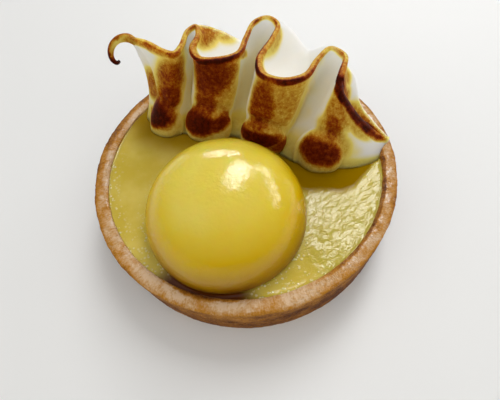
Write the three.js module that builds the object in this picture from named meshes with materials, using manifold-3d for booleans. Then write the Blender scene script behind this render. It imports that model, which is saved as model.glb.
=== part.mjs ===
// A small round lemon tart: a straight-sided pastry case filled with lemon curd, a smooth lemon dome
// set on the filling, and a scorched meringue ruffle piped across the back of it.
// Millimetres. The origin is the centre of the case's flat underside, +Z is up, and +Y runs from the
// dome towards the meringue.

import * as THREE from 'three';
import { mergeVertices } from 'three/addons/utils/BufferGeometryUtils.js';
import Module from 'manifold-3d';

// ---- driving dimensions ----

const CASE_DIAMETER = 80; // a standard tart ring
const CASE_HEIGHT = 17;
const WALL = 3.9; // pastry at the rim
const FLOOR = 3.5;
const WALL_DRAFT = 0.5; // the outside is this much narrower at the bottom
const FOOT_ROUND = 1.6; // edge between underside and side
const CASE_SEGMENTS = 96;
const RIM_CROWN = 0.8; // the rim is this much lower at its edges than along its middle
const RIM_SHOULDER = 0.5; // angle, in radians, at which the rim's rounded top meets its edges
const RIM_WAVER = 0.25; // unevenness of hand-trimmed pastry
const RIM_WAVES = [[0.5, 3, 0.8], [0.3, 7, 0], [0.2, 13, 2]]; // waves: share, number round the rim, phase

const FILLING_LEVEL = 15.6;
const GAP = 0.3; // clearance between pieces that lie against each other

const DOME_AT = new THREE.Vector2(-5.6, -14.9);
const DOME_RADIUS = 19.6;
const DOME_WAIST = 1.4; // height of the widest place over the filling
const DOME_CROWN = 16.8; // from the widest place to the top
const DOME_TUCK = 6; // how deep the underside would round off if the filling didn't cut it
const DOME_SEGMENTS = 64;

const LIP = 1.8; // thickness of the ruffle's upper edge
const STEPS_PER_ROW = 4; // stations between two rows of the ruffle's course

// ---- the ruffle's course: its upper edge from left to right, then its two foot lines ----

// Each row is a point of the upper edge. A fold is a turn towards the dome, a loop one towards the back.
const COURSE = [
  { at: [-24.5, 28.1, 37.6] },
  { at: [-20.0, 24.9, 38.0] },
  { at: [-15.8, 20.8, 38.0] },
  { at: [-13.0, 19.4, 38.0], turn: 'fold' },
  { at: [-11.2, 21.9, 38.0] },
  { at: [-9.4, 27.2, 38.2] },
  { at: [-7.3, 28.8, 38.2], turn: 'loop' },
  { at: [-6.9, 25.2, 38.1] },
  { at: [-8.6, 20.4, 38.0] },
  { at: [-7.3, 16.7, 37.9] },
  { at: [-2.8, 15.4, 37.9], turn: 'fold' },
  { at: [2.4, 16.5, 38.0] },
  { at: [4.8, 21.5, 38.2] },
  { at: [7.6, 27.0, 38.4] },
  { at: [11.0, 28.2, 38.4], turn: 'loop' },
  { at: [13.2, 25.0, 38.4] },
  { at: [11.2, 20.2, 38.2] },
  { at: [7.0, 13.5, 38.0] },
  { at: [7.2, 8.8, 37.8] },
  { at: [11.7, 5.8, 37.8], turn: 'fold' },
  { at: [16.8, 6.5, 37.9] },
  { at: [20.4, 11.0, 38.0] },
  { at: [24.2, 14.3, 38.0], turn: 'loop' },
  { at: [26.8, 11.0, 38.0] },
  { at: [25.2, 6.8, 37.8] },
  { at: [24.2, 4.5, 37.0], turn: 'fold' },
  { at: [24.7, 3.6, 34.9] },
  { at: [26.6, 3.2, 31.0] },
  { at: [31.3, 2.3, 24.0] },
  { at: [36.6, 1.3, 18.9] },
  { at: [39.2, 0.8, 18.0] },
];
const LAST = COURSE.length - 1;

// Where the ruffle's front and back meet the filling, and the front line's ends at the top. Row, x, y.
const FOOT_FRONT = [
  [0, -25.9, 21.4],
  [1.5, -23.8, 17.2],
  [3, -19.8, 14.6],
  [10, -8.4, 11.4],
  [19, 5.8, 5.2],
  [25, 17.5, -3.0],
  [28, 31.5, -3.6],
  [LAST, 38.6, 0.0],
];
const FOOT_BACK = [
  [0, -24.2, 25.4],
  [6, -10.2, 31.4],
  [10, -1.8, 28.6],
  [14, 8.6, 31.6],
  [18, 17.4, 24.4],
  [22, 26.0, 20.4],
  [25, 30.0, 11.4],
  [27, 32.0, 6.6],
  [LAST, 38.8, 1.8],
];
const FRONT_ENDS = [[0, -23.4, 26.4], [LAST, 39.2, 0.5]];

// The crest of the ruffle's back, which touches the edge at the loops and sags between them, lowest
// before the next loop. Row, x, y, z.
const SAGS = [
  [0, -24.0, 28.8, 30.4],
  [4.6, -12.4, 29.8, 30.8],
  [8.2, -2.2, 30.4, 34.8],
  [11.8, 5.0, 29.8, 30.8],
  [16.2, 16.2, 27.8, 34.8],
  [19.4, 20.4, 22.4, 31.4],
  [24, 28.8, 10.8, 32.6],
  [27, 31.2, 5.6, 26.0],
  [LAST, 39.2, 1.4, 17.4],
];

const GROOVE_AT_FOOT = 0.06; // share of a loop's depth that is left of the front groove at the foot
const GROOVE_RISE = 0.75; // exponent: how soon the groove opens going up
const SIDEWAYS_AT_FOOT = 0.6; // share of the edge's swing to the sides that is left at the foot
const FOOT_FATTER = 1.2; // the front thickens this much from lip to foot
const FOOT_THIN = 0.25; // share of that thickness that is left where the foot meets the filling
const BACK_SWELL = 1.5; // how far the back wall rounds out between foot and crest
const BOWL_RISE = 2.4; // exponent: how late the bowl between two loops rises to the edge
const BOWL_DIP = 1.2; // and how far it dips under the line from crest to edge
const TUCKED_END = 2.6; // how far the left end is drawn in at half height
const KNOB = { depth: 2.6, halfWidth: 6.2, height: 3.6, halfHeight: 5.8 }; // round foot of each fold
const KNOBS_AT = [[-21.3, 15.6], [-8.4, 11.4], [5.8, 5.2], [18.9, -3.0]];
const FULL_HEIGHT = 14; // where the ruffle stands lower than this, its swells get smaller
const THIN_HEIGHT = 6; // and where it is lower than this, its edge gets thinner
const ROUNDED_TOP = 0.8; // rise of the edge's middle, as a share of half its thickness
const LEVELS = [0, 0.05, 0.11, 0.18, 0.26, 0.36, 0.48, 0.6, 0.72, 0.82, 0.91, 1]; // up the front
const WALL_STEPS = [0, 0.16, 0.34, 0.52, 0.7, 0.86, 1]; // up the back to the crest
const BOWL_STEPS = [0.22, 0.46, 0.68, 0.86, 1]; // and on to the edge

// The drawn-out tail at the ruffle's left end, which curls over in an upright hook. Radius last.
const TAIL = [
  [-22.8, 26.9, 37.2, 0.8],
  [-24.9, 28.3, 37.7, 1.0],
  [-27.5, 28.7, 37.3, 0.95],
  [-29.7, 28.5, 35.7, 0.85],
  [-30.7, 28.0, 33.8, 0.75],
  [-30.7, 27.7, 32.1, 0.65],
  [-30.0, 27.8, 31.1, 0.55],
  [-29.2, 28.2, 31.3, 0.35],
];
const TAIL_SIDES = 8;
const TAIL_STEPS = 28;

// ---- geometry helpers ----

const clamp01 = (x) => Math.min(1, Math.max(0, x));
const mix = (a, b, t) => a + (b - a) * t;
const ease = (x, low, high) => THREE.MathUtils.smoothstep(x, low, high);

// Joins a row of rings, each a list of the same number of points, into one closed solid. The rings turn
// so that the faces between them point out, and each end is closed by rungs from its first points to
// its last.
function loft(rings) {
  const sides = rings[0].length;
  const positions = rings.flat().flatMap((point) => [point.x, point.y, point.z]);
  const index = [];
  const face = (flipped, p, q, r) => index.push(p, flipped ? r : q, flipped ? q : r);
  for (let i = 0; i < rings.length - 1; i += 1) {
    for (let j = 0; j < sides; j += 1) {
      const a = i * sides + j;
      const b = i * sides + ((j + 1) % sides);
      face(false, a, a + sides, b + sides);
      face(false, a, b + sides, b);
    }
  }
  for (const ring of [0, rings.length - 1]) {
    const flipped = ring > 0;
    for (let low = ring * sides, high = low + sides - 1; high - low > 1; low += 1, high -= 1) {
      face(flipped, low, low + 1, high);
      if (high - low > 2) face(flipped, low + 1, high - 1, high);
    }
  }
  const geometry = new THREE.BufferGeometry();
  geometry.setAttribute('position', new THREE.Float32BufferAttribute(positions, 3));
  geometry.setIndex(index);
  return geometry;
}

const wasm = await Module();
wasm.setup();

function toSolid(geometry) {
  const bare = geometry.clone();
  bare.deleteAttribute('normal');
  bare.deleteAttribute('uv');
  const merged = mergeVertices(bare, 1e-4);
  const index = merged.index.array;
  const corners = [];
  for (let i = 0; i < index.length; i += 3) {
    const [a, b, c] = [index[i], index[i + 1], index[i + 2]];
    if (a !== b && b !== c && c !== a) corners.push(a, b, c);
  }
  const triVerts = new Uint32Array(corners);
  const vertProperties = new Float32Array(merged.attributes.position.array);
  return new wasm.Manifold(new wasm.Mesh({ numProp: 3, vertProperties, triVerts }));
}

function toGeometry(solid) {
  const mesh = solid.getMesh();
  const geometry = new THREE.BufferGeometry();
  geometry.setAttribute('position', new THREE.Float32BufferAttribute(mesh.vertProperties, 3));
  geometry.setIndex(Array.from(mesh.triVerts));
  geometry.computeVertexNormals();
  return geometry;
}

// ---- pastry case ----

// A lathed ring profile turns about Y, so it is laid down to turn about Z.
function lathe(profile, segments) {
  const points = profile.map(([radius, height]) => new THREE.Vector2(radius, height));
  return new THREE.LatheGeometry(points, segments).rotateX(Math.PI / 2);
}

// Points of an ellipse from one angle to another, ends included.
function arc(x, z, radiusX, radiusZ, from, to, steps) {
  const points = [];
  for (let i = 0; i <= steps; i += 1) {
    const angle = mix(from, to, i / steps);
    points.push([x + radiusX * Math.cos(angle), z + radiusZ * Math.sin(angle)]);
  }
  return points;
}

function pastryCase() {
  const outer = CASE_DIAMETER / 2;
  const inner = outer - WALL;
  const bottom = outer - WALL_DRAFT;
  const shoulder = CASE_HEIGHT - RIM_CROWN;
  const profile = [
    [0, 0],
    ...arc(bottom - FOOT_ROUND, FOOT_ROUND, FOOT_ROUND, FOOT_ROUND, -Math.PI / 2, 0, 3),
    [outer, shoulder],
    ...arc(outer - WALL / 2, shoulder, WALL / 2, RIM_CROWN, RIM_SHOULDER, Math.PI - RIM_SHOULDER, 4),
    [inner, shoulder],
    [inner, FLOOR],
    [0, FLOOR],
  ];
  const geometry = lathe(profile, CASE_SEGMENTS);
  const position = geometry.attributes.position;
  const point = new THREE.Vector3();
  // the side and the rim waver a little, while the underside and the inside stay true
  for (let i = 0; i < position.count; i += 1) {
    point.fromBufferAttribute(position, i);
    const radius = Math.hypot(point.x, point.y);
    const angle = Math.atan2(point.y, point.x);
    const waves = RIM_WAVES.map(([share, count, phase]) => share * Math.sin(count * angle + phase));
    const waver = waves.reduce((sum, wave) => sum + wave);
    const outside = ease(radius, inner + GAP, inner + WALL / 2);
    const raised = ease(point.z, FOOT_ROUND, shoulder);
    const onTop = ease(point.z, shoulder - RIM_CROWN, CASE_HEIGHT);
    const drawnInwards = (RIM_WAVER * raised * (1 - waver)) / 2;
    const scale = outside > 0 ? 1 - (drawnInwards * outside) / radius : 1;
    position.setXYZ(i, point.x * scale, point.y * scale, point.z + RIM_WAVER * waver * onTop * outside);
  }
  return geometry;
}

// ---- filling and dome ----

function filling() {
  const radius = CASE_DIAMETER / 2 - WALL - GAP;
  const bottom = FLOOR + GAP;
  return lathe([[0, bottom], [radius, bottom], [radius, FILLING_LEVEL], [0, FILLING_LEVEL]], CASE_SEGMENTS);
}

// Half an egg shape: an elliptic crown over a waist, and a short rounded tuck down to the filling.
function dome(grown = 0) {
  const waist = FILLING_LEVEL + DOME_WAIST;
  const cut = -Math.asin((DOME_WAIST + grown) / (DOME_TUCK + grown));
  const radius = DOME_RADIUS + grown;
  const under = arc(0, waist, radius, DOME_TUCK + grown, cut, 0, 2);
  const over = arc(0, waist, radius, DOME_CROWN + grown, 0, Math.PI / 2, 12);
  over[over.length - 1][0] = 0;
  const profile = [[0, under[0][1]], ...under, ...over.slice(1)];
  return lathe(profile, DOME_SEGMENTS).translate(DOME_AT.x, DOME_AT.y, 0);
}

// ---- meringue ----

// A smooth line through [row, x, y, z] stations: a cubic between each two, with slopes that weigh the
// neighbouring chords by their lengths in rows and are level at its highest and lowest stations.
// Without z, the line lies on the filling.
function through(stations, row) {
  const rows = stations.map((station) => station[0]);
  const points = stations.map(([, x, y, z = FILLING_LEVEL]) => new THREE.Vector3(x, y, z));
  const chord = (k) => points[k + 1].clone().sub(points[k]).divideScalar(rows[k + 1] - rows[k]);
  const slope = (k) => {
    if (k === 0) return chord(0);
    if (k === rows.length - 1) return chord(k - 1);
    const [before, after] = [chord(k - 1), chord(k)];
    const mean = after.clone().lerp(before, (rows[k + 1] - rows[k]) / (rows[k + 1] - rows[k - 1]));
    return before.z * after.z > 0 ? mean : mean.setZ(0);
  };
  const next = rows.findIndex((value) => value > row);
  const k = next === -1 ? rows.length - 2 : Math.max(0, next - 1);
  const span = rows[k + 1] - rows[k];
  const t = (row - rows[k]) / span;
  return new THREE.Vector3()
    .addScaledVector(points[k], 2 * t ** 3 - 3 * t ** 2 + 1)
    .addScaledVector(slope(k), span * (t ** 3 - 2 * t ** 2 + t))
    .addScaledVector(points[k + 1], 3 * t ** 2 - 2 * t ** 3)
    .addScaledVector(slope(k + 1), span * (t ** 3 - t ** 2));
}

const turns = (name) => COURSE.flatMap(({ at, turn }, row) => (turn === name ? [[row, ...at]] : []));
const byRow = (stations) => [...stations].sort((a, b) => a[0] - b[0]);

const smooth = (places) => {
  const points = places.map(([x, y, z]) => new THREE.Vector3(x, y, z));
  return new THREE.CatmullRomCurve3(points, false, 'centripetal');
};
const EDGE = smooth(COURSE.map(({ at }) => at));
const FRONT_LINE = byRow([...turns('fold'), ...FRONT_ENDS]);
const CREST = byRow([...turns('loop'), ...SAGS]);
const KNOBS = KNOBS_AT.map(([x, y]) => new THREE.Vector3(x, y, FILLING_LEVEL));

// Measures one station of the ruffle: its upper edge, the front line that the folds touch and the
// crest, both feet, and the directions along and across it, which lie flat.
function station(row) {
  const edge = EDGE.getPoint(row / LAST);
  const step = 0.05;
  const ahead = EDGE.getPoint(Math.min(1, (row + step) / LAST));
  const behind = EDGE.getPoint(Math.max(0, (row - step) / LAST));
  const along = ahead.sub(behind).setZ(0).normalize();
  const front = through(FRONT_LINE, row);
  const crest = through(CREST, row);
  const across = crest.clone().sub(front).setZ(0);
  const depth = across.length();
  across.normalize();
  const side = new THREE.Vector3(across.y, -across.x, 0);
  const offset = edge.clone().sub(front);
  const height = edge.z - FILLING_LEVEL;
  return {
    row, edge, front, crest, across, side, height,
    normal: new THREE.Vector3(-along.y, along.x, 0),
    inward: offset.dot(across),
    sideways: offset.dot(side),
    looped: clamp01(offset.dot(across) / depth),
    footFront: through(FOOT_FRONT, row),
    footBack: through(FOOT_BACK, row),
    tall: ease(height, 0, FULL_HEIGHT),
    halfLip: (LIP / 2) * Math.max(0.5, ease(height, 0, THIN_HEIGHT)),
  };
}

// The front of the ruffle at a share of its height: the folds stay, and the grooves between them get
// shallower going down. Each fold ends in a round knob on the filling.
function frontPoint(s, level) {
  const groove = mix(GROOVE_AT_FOOT, 1, level ** GROOVE_RISE);
  const z = FILLING_LEVEL + level * s.height;
  const point = s.footFront.clone().lerp(s.front, level);
  point.addScaledVector(s.across, s.inward * groove);
  point.addScaledVector(s.side, s.sideways * mix(SIDEWAYS_AT_FOOT, 1, level));
  const thick = s.halfLip + FOOT_FATTER * (1 - level) * (1 - s.looped) * s.tall;
  point.addScaledVector(s.normal, -thick * mix(FOOT_THIN, 1, level));
  const bulges = KNOBS.map((knob) => {
    const beside = knob.distanceTo(s.footFront) / KNOB.halfWidth;
    const above = (z - FILLING_LEVEL - KNOB.height) / KNOB.halfHeight;
    return KNOB.depth * clamp01(1 - beside ** 2 - above ** 2);
  });
  point.addScaledVector(s.across, -Math.max(...bulges));
  return drawnIn(s, level, point.setZ(z));
}

// The outer wall of the back, at a share of the way from the foot up to the crest.
function wallPoint(s, share) {
  const crest = s.crest.clone().addScaledVector(s.across, s.halfLip);
  const point = s.footBack.clone().lerp(crest, share);
  point.addScaledVector(s.across, BACK_SWELL * Math.sin(Math.PI * share) * s.tall);
  return drawnIn(s, (point.z - FILLING_LEVEL) / s.height, point);
}

// The bowl between two loops, at a share of the way from the crest to the edge. It has no width at
// the loops.
function bowlPoint(s, share) {
  const crest = s.crest.clone().addScaledVector(s.across, s.halfLip);
  const point = crest.clone().lerp(s.edge.clone().addScaledVector(s.normal, s.halfLip), share);
  const rise = mix(crest.z, s.edge.z, share ** BOWL_RISE);
  point.setZ(rise - BOWL_DIP * Math.sin(Math.PI * share) * (1 - s.looped) * s.tall);
  return drawnIn(s, (point.z - FILLING_LEVEL) / s.height, point);
}

// The left end stands on a narrower stem than its edge: it is drawn in at half height.
function drawnIn(s, level, point) {
  point.x += TUCKED_END * Math.sin(Math.PI * clamp01(level)) * (1 - ease(s.row, 0, 3));
  return point;
}

function ruffle() {
  const rings = [];
  for (let i = 0; i <= LAST * STEPS_PER_ROW; i += 1) {
    const s = station(i / STEPS_PER_ROW);
    const top = s.edge.clone().setZ(s.edge.z + ROUNDED_TOP * s.halfLip);
    const front = LEVELS.map((level) => frontPoint(s, level));
    const wall = WALL_STEPS.map((share) => wallPoint(s, share));
    const bowl = BOWL_STEPS.map((share) => bowlPoint(s, share));
    rings.push([...front, top, ...bowl.reverse(), ...wall.reverse()]);
  }
  return loft(rings);
}

function tail() {
  const path = smooth(TAIL);
  const rings = [];
  for (let i = 0; i <= TAIL_STEPS; i += 1) {
    const t = i / TAIL_STEPS;
    const centre = path.getPoint(t);
    const along = path.getTangent(t);
    const flat = new THREE.Vector3(0, 1, 0).cross(along).normalize();
    const broad = along.clone().cross(flat).normalize();
    const place = t * (TAIL.length - 1);
    const k = Math.min(TAIL.length - 2, Math.floor(place));
    const radius = mix(TAIL[k][3], TAIL[k + 1][3], place - k);
    const ring = [];
    for (let j = 0; j < TAIL_SIDES; j += 1) {
      const angle = (-2 * Math.PI * j) / TAIL_SIDES;
      const point = centre.clone().addScaledVector(flat, radius * Math.cos(angle));
      ring.push(point.addScaledVector(broad, radius * Math.sin(angle)));
    }
    rings.push(ring);
  }
  return loft(rings);
}

// The ruffle with its tail, clear of the dome it leans against and of the rim it lies over.
function meringue() {
  const inner = CASE_DIAMETER / 2 - WALL - GAP;
  const outer = CASE_DIAMETER / 2 + WALL;
  const top = CASE_HEIGHT + RIM_WAVER + GAP;
  const ring = [[inner, FLOOR], [outer, FLOOR], [outer, top], [inner, top], [inner, FLOOR]];
  const rim = lathe(ring, CASE_SEGMENTS);
  const piped = toSolid(ruffle()).add(toSolid(tail()));
  return toGeometry(piped.subtract(toSolid(rim)).subtract(toSolid(dome(GAP))));
}

// ---- the tart ----

const tart = new THREE.Group();

function piece(name, geometry, color, roughness) {
  const mesh = new THREE.Mesh(geometry, new THREE.MeshStandardMaterial({ color, roughness, metalness: 0 }));
  mesh.name = name;
  tart.add(mesh);
}

piece('pastry_case', pastryCase(), 0xb98a54, 0.7);
piece('lemon_filling', filling(), 0xd6c35c, 0.35);
piece('lemon_dome', dome(), 0xe0c63a, 0.25);
piece('meringue_ruffle', meringue(), 0xf0ecdf, 0.6);

export default tart;
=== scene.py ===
# A small lemon tart: a case of lemon curd, a glazed lemon dome and a torched meringue ruffle. Sizes
# are in millimetres and become metres where a mesh is made. Origin and axes are the frame's: the
# middle of the case's underside, +Z up, +Y from the dome towards the meringue.

import bmesh
import bpy
import numpy as np
from mathutils import Matrix


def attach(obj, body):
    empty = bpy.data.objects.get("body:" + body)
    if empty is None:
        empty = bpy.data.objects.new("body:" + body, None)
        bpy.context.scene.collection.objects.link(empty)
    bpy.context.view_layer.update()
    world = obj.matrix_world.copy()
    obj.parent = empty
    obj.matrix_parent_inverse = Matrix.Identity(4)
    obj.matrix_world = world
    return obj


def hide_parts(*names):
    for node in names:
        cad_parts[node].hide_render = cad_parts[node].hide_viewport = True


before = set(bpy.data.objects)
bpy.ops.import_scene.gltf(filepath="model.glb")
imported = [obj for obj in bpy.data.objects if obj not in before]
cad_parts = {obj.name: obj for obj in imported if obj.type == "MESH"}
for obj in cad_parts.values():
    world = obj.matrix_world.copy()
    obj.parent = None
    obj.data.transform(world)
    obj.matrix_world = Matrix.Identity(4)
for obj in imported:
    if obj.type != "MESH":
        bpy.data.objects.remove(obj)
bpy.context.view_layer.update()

# ---- The pastry case ----
# Sweet shortcrust pressed into a plain 80 mm ring and baked: straight sides, a flat floor and a
# hand-trimmed rim, browned most on its side and along its edges. Everything else sits in it.

MM = 0.001
CASE_RADIUS = 40.0
CASE_HEIGHT = 17.0
WALL = 3.9
FLOOR = 3.5
WALL_DRAFT = 0.5
FOOT_ROUND = 1.6
RIM_CROWN = 0.8
# the rim wavers by a sum of sines: the share of each, its count round the rim and its phase
RIM_WAVER = 0.25
RIM_WAVES = ((0.5, 3, 0.8), (0.3, 7, 0.0), (0.2, 13, 2.0))
# the baked crumb: the sizes of its lumps, its grains and its pits, their height and depth
LUMP, GRAIN, PIT = 2.6, 0.8, 0.7
CRUMB_HEIGHT, PIT_DEPTH = 0.07, 0.16
CASE_COLUMNS = 680
# the dome all but touches the crust at the front left, where the crust's top is darkened as painted
# shade under the dome
DOME_AT = (-5.6, -14.9)
DOME_RADIUS = 19.6
# how brown the dough is, its blotches, the side wall, and how much paler that is towards its top
DOUGH_BROWN, BLOTCH_BROWN = 0.16, 0.16
WALL_BROWN, WALL_PALER = 0.68, 0.2
# the crust's colours from pale to dark, and the pale colour of a painted highlight where butter
# glints
CRUST_COLOURS = (
    (0.0, (0.74, 0.52, 0.32)),
    (0.2, (0.62, 0.35, 0.14)),
    (0.4, (0.54, 0.23, 0.025)),
    (0.62, (0.38, 0.145, 0.012)),
    (0.85, (0.22, 0.07, 0.004)),
    (1.0, (0.12, 0.03, 0.002)),
)
BUTTER_GLINT = (0.74, 0.56, 0.42)
# how much slower the fibres change along the rim's width and the wall's height than round the case
FIBRE_STRETCH = 0.3


def smoothstep(x, low, high):
    """0 below low, 1 above high, and 3t^2 - 2t^3 between them."""
    t = np.clip((x - low) / (high - low), 0, 1)
    return t * t * (3 - 2 * t)


def arc(centre, radii, start, end, count):
    """Points of an ellipse from one angle to another: centre + radii * (cosine, sine)."""
    angle = np.linspace(start, end, count)[:, None]
    return np.array(centre) + np.array(radii) * np.hstack([np.cos(angle), np.sin(angle)])


def straight(start, end, count):
    """Evenly spaced points from start to end."""
    share = np.linspace(0, 1, count)[:, None]
    return np.array(start) * (1 - share) + np.array(end) * share


def turned(profile, columns):
    """A profile of (radius, height) turned about Z: a grid of rows by columns by three."""
    angle = np.linspace(0, 2 * np.pi, columns, endpoint=False)
    radius, height = profile[:, :1], profile[:, 1:]
    return np.stack(
        [radius * np.cos(angle), radius * np.sin(angle), height + 0 * angle], axis=-1
    )


def noise(points, cell, seed):
    """Smooth random values from -1 to 1: each corner of a cubic lattice has a value hashed from its
    whole-number place, and a point blends its eight corners by smoothstep weights."""
    place = points / cell
    base = np.floor(place).astype(np.int64)
    part = smoothstep(place - base, 0, 1)
    total = np.zeros(points.shape[:-1])
    for corner in np.ndindex(2, 2, 2):
        x, y, z = np.moveaxis(base + corner, -1, 0)
        mixed = (x * 73856093) ^ (y * 19349663) ^ (z * 83492791) ^ (seed * 961748927)
        mixed = (mixed ^ (mixed >> 15)) * 2246822519
        mixed = (mixed ^ (mixed >> 13)) * 3266489917
        value = ((mixed ^ (mixed >> 16)) & 0xFFFF) / 0x7FFF - 1
        total += value * np.prod(np.where(corner, part, 1 - part), axis=-1)
    return total


def relief(points, cell, seed, octaves=3):
    """Noise summed over octaves, each half the size and strength of the last and turned from it."""
    turn = np.array([[0.80, 0.36, -0.48], [-0.60, 0.48, -0.64], [0.0, 0.80, 0.60]])
    total = np.zeros(points.shape[:-1])
    for octave in range(octaves):
        points = points @ turn.T
        total += noise(points, cell / 2**octave, seed + octave) / 2**octave
    return total


def normals(grid):
    """Unit normals of a grid whose columns close into rings: the cross product of the steps along
    a ring and from ring to ring."""
    along = np.roll(grid, -1, axis=1) - np.roll(grid, 1, axis=1)
    across = np.gradient(grid, axis=0)
    normal = np.cross(along, across)
    return normal / np.maximum(np.linalg.norm(normal, axis=-1, keepdims=True), 1e-9)


def ring_faces(rows, columns):
    """The quads of a grid whose columns close into rings, numbered row by row."""
    i = np.arange(rows - 1)[:, None] * columns
    j = np.arange(columns)[None, :]
    following = (j + 1) % columns
    corners = [i + j, i + following, i + columns + following, i + columns + j]
    return np.stack(np.broadcast_arrays(*corners), axis=-1).reshape(-1, 4)


def make_piece(name, points, faces, **values):
    """A smooth mesh piece from points in millimetres, with its values as attributes of its points.
    Points that fall together, as at a pole, are merged."""
    mesh = bpy.data.meshes.new(name)
    mesh.from_pydata((points.reshape(-1, 3) * MM).tolist(), [], faces.tolist())
    for key, value in values.items():
        attribute = mesh.attributes.new(key, "FLOAT", "POINT")
        attribute.data.foreach_set("value", np.clip(value, 0, 1).ravel().astype(np.float32))
    shape = bmesh.new()
    shape.from_mesh(mesh)
    bmesh.ops.remove_doubles(shape, verts=shape.verts, dist=1e-3 * MM)
    shape.to_mesh(mesh)
    shape.free()
    mesh.shade_smooth()
    made = bpy.data.objects.new(name, mesh)
    bpy.context.scene.collection.objects.link(made)
    return made


class Wire:
    """A socket of a material's nodes. An expression on wires and numbers adds its Math nodes, and
    node() adds any other kind."""

    def __init__(self, tree, socket=None):
        self.tree, self.socket = tree, socket

    def node(self, kind, settings=(), sockets=(), output=0):
        """A node of a kind: its settings are set first, and its sockets take values or wires."""
        made = self.tree.nodes.new(kind)
        for key, value in dict(settings).items():
            if key == "stops":
                ramp = made.color_ramp.elements
                while len(ramp) < len(value):
                    ramp.new(1)
                for stop, (position, colour) in zip(ramp, value):
                    stop.position, stop.color = position, (*colour, 1)
            else:
                setattr(made, key, value)
        for key, value in dict(sockets).items():
            if isinstance(value, Wire):
                self.tree.links.new(value.socket, made.inputs[key])
            else:
                made.inputs[key].default_value = value
        return Wire(self.tree, made.outputs[output] if made.outputs else None)

    def math(self, operation, *values):
        return self.node("ShaderNodeMath", {"operation": operation}, enumerate(values))

    def __add__(self, other):
        return self.math("ADD", self, other)

    def __sub__(self, other):
        return self.math("SUBTRACT", self, other)

    def __rsub__(self, other):
        return self.math("SUBTRACT", other, self)

    def __mul__(self, other):
        return self.math("MULTIPLY", self, other)

    __radd__, __rmul__ = __add__, __mul__

    def between(self, low, high):
        """0 where this is low, 1 where it is high, smooth in between."""
        settings = {"interpolation_type": "SMOOTHSTEP"}
        return self.node("ShaderNodeMapRange", settings, {0: self, 1: low, 2: high})

    def value(self, name):
        """One of the piece's own point values."""
        return self.node("ShaderNodeAttribute", {"attribute_name": name}, output="Fac")

    def place(self):
        """The point's place in millimetres."""
        here = self.node("ShaderNodeTexCoord", output="Object")
        return self.node("ShaderNodeMapping", (), {"Vector": here, "Scale": (1 / MM,) * 3})

    def vector(self, operation, *values, output=0):
        """A sum, product or length of vectors."""
        settings = {"operation": operation}
        return self.node("ShaderNodeVectorMath", settings, enumerate(values), output)

    def upwards(self):
        """The Z of a place or direction."""
        return self.node("ShaderNodeSeparateXYZ", (), {0: self}, output="Z")

    def grain(self, place, size, detail=2.0, roughness=0.5, distortion=0.0):
        """Noise from 0 to 1 with features of a size in millimetres."""
        sockets = {"Vector": place, "Scale": 1 / size, "Detail": detail}
        sockets |= {"Roughness": roughness, "Distortion": distortion}
        return self.node("ShaderNodeTexNoise", (), sockets)

    def ramp(self, *stops):
        """A colour from a row of (value, colour) stops."""
        return self.node("ShaderNodeValToRGB", {"stops": stops}, {0: self})

    def mixed(self, first, second):
        """Two colours mixed, this wire being the share of the second."""
        first, second = (c if isinstance(c, Wire) else (*c, 1) for c in (first, second))
        sockets = {0: self, 6: first, 7: second}
        return self.node("ShaderNodeMix", {"data_type": "RGBA"}, sockets, output=2)

    def raised(self, height, normal=None):
        """A bumped normal: this wire, from 0 to 1, is a relief of a height in millimetres."""
        sockets = {"Height": self, "Distance": height * MM}
        if normal:
            sockets["Normal"] = normal
        return self.node("ShaderNodeBump", (), sockets)


def new_finish(name):
    """An empty material, and a wire to start its nodes from."""
    material = bpy.data.materials.new(name)
    material.use_nodes = True
    material.node_tree.nodes.clear()
    return material, Wire(material.node_tree)


def apply_finish(piece, material, start, dull=None, **sockets):
    """Closes a material with a Principled shader, mixed where it is dull with one that doesn't
    shine, and puts it on its piece."""
    sockets = {key.replace("_", " "): value for key, value in sockets.items()}
    shader = start.node("ShaderNodeBsdfPrincipled", (), sockets)
    if dull:
        sockets |= {"Roughness": 0.9, "Specular IOR Level": 0.0}
        matt = start.node("ShaderNodeBsdfPrincipled", (), sockets)
        shader = start.node("ShaderNodeMixShader", (), {0: dull, 1: shader, 2: matt})
    start.node("ShaderNodeOutputMaterial", (), {"Surface": shader})
    piece.data.materials.append(material)


inner_radius = CASE_RADIUS - WALL
rim_middle = CASE_RADIUS - WALL / 2
foot_radius = CASE_RADIUS - WALL_DRAFT
flat_radius = foot_radius - FOOT_ROUND
shoulder = CASE_HEIGHT - RIM_CROWN
case_profile = np.vstack(
    [
        straight((0, 0), (flat_radius, 0), 14)[:-1],
        arc((flat_radius, FOOT_ROUND), (FOOT_ROUND, FOOT_ROUND), -np.pi / 2, 0, 8)[:-1],
        straight((foot_radius, FOOT_ROUND), (CASE_RADIUS, shoulder), 40)[:-1],
        arc((rim_middle, shoulder), (WALL / 2, RIM_CROWN), 0, np.pi, 26)[:-1],
        straight((inner_radius, shoulder), (inner_radius, FLOOR), 22)[:-1],
        straight((inner_radius, FLOOR), (0, FLOOR), 8),
    ]
)
case_grid = turned(case_profile, CASE_COLUMNS)
case_angle = np.arctan2(case_grid[..., 1], case_grid[..., 0])
case_radius = np.hypot(case_grid[..., 0], case_grid[..., 1])
waver = sum(share * np.sin(count * case_angle + phase) for share, count, phase in RIM_WAVES)
outside = smoothstep(case_radius, inner_radius + 0.3, rim_middle)
raised = smoothstep(case_grid[..., 2], FOOT_ROUND, shoulder)
on_top = smoothstep(case_grid[..., 2], shoulder - RIM_CROWN, CASE_HEIGHT)
drawn_in = RIM_WAVER * raised * outside * (1 - waver) / 2
case_grid[..., :2] *= (1 - drawn_in / np.maximum(case_radius, 1))[..., None]
case_grid[..., 2] += RIM_WAVER * waver * on_top * outside
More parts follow.
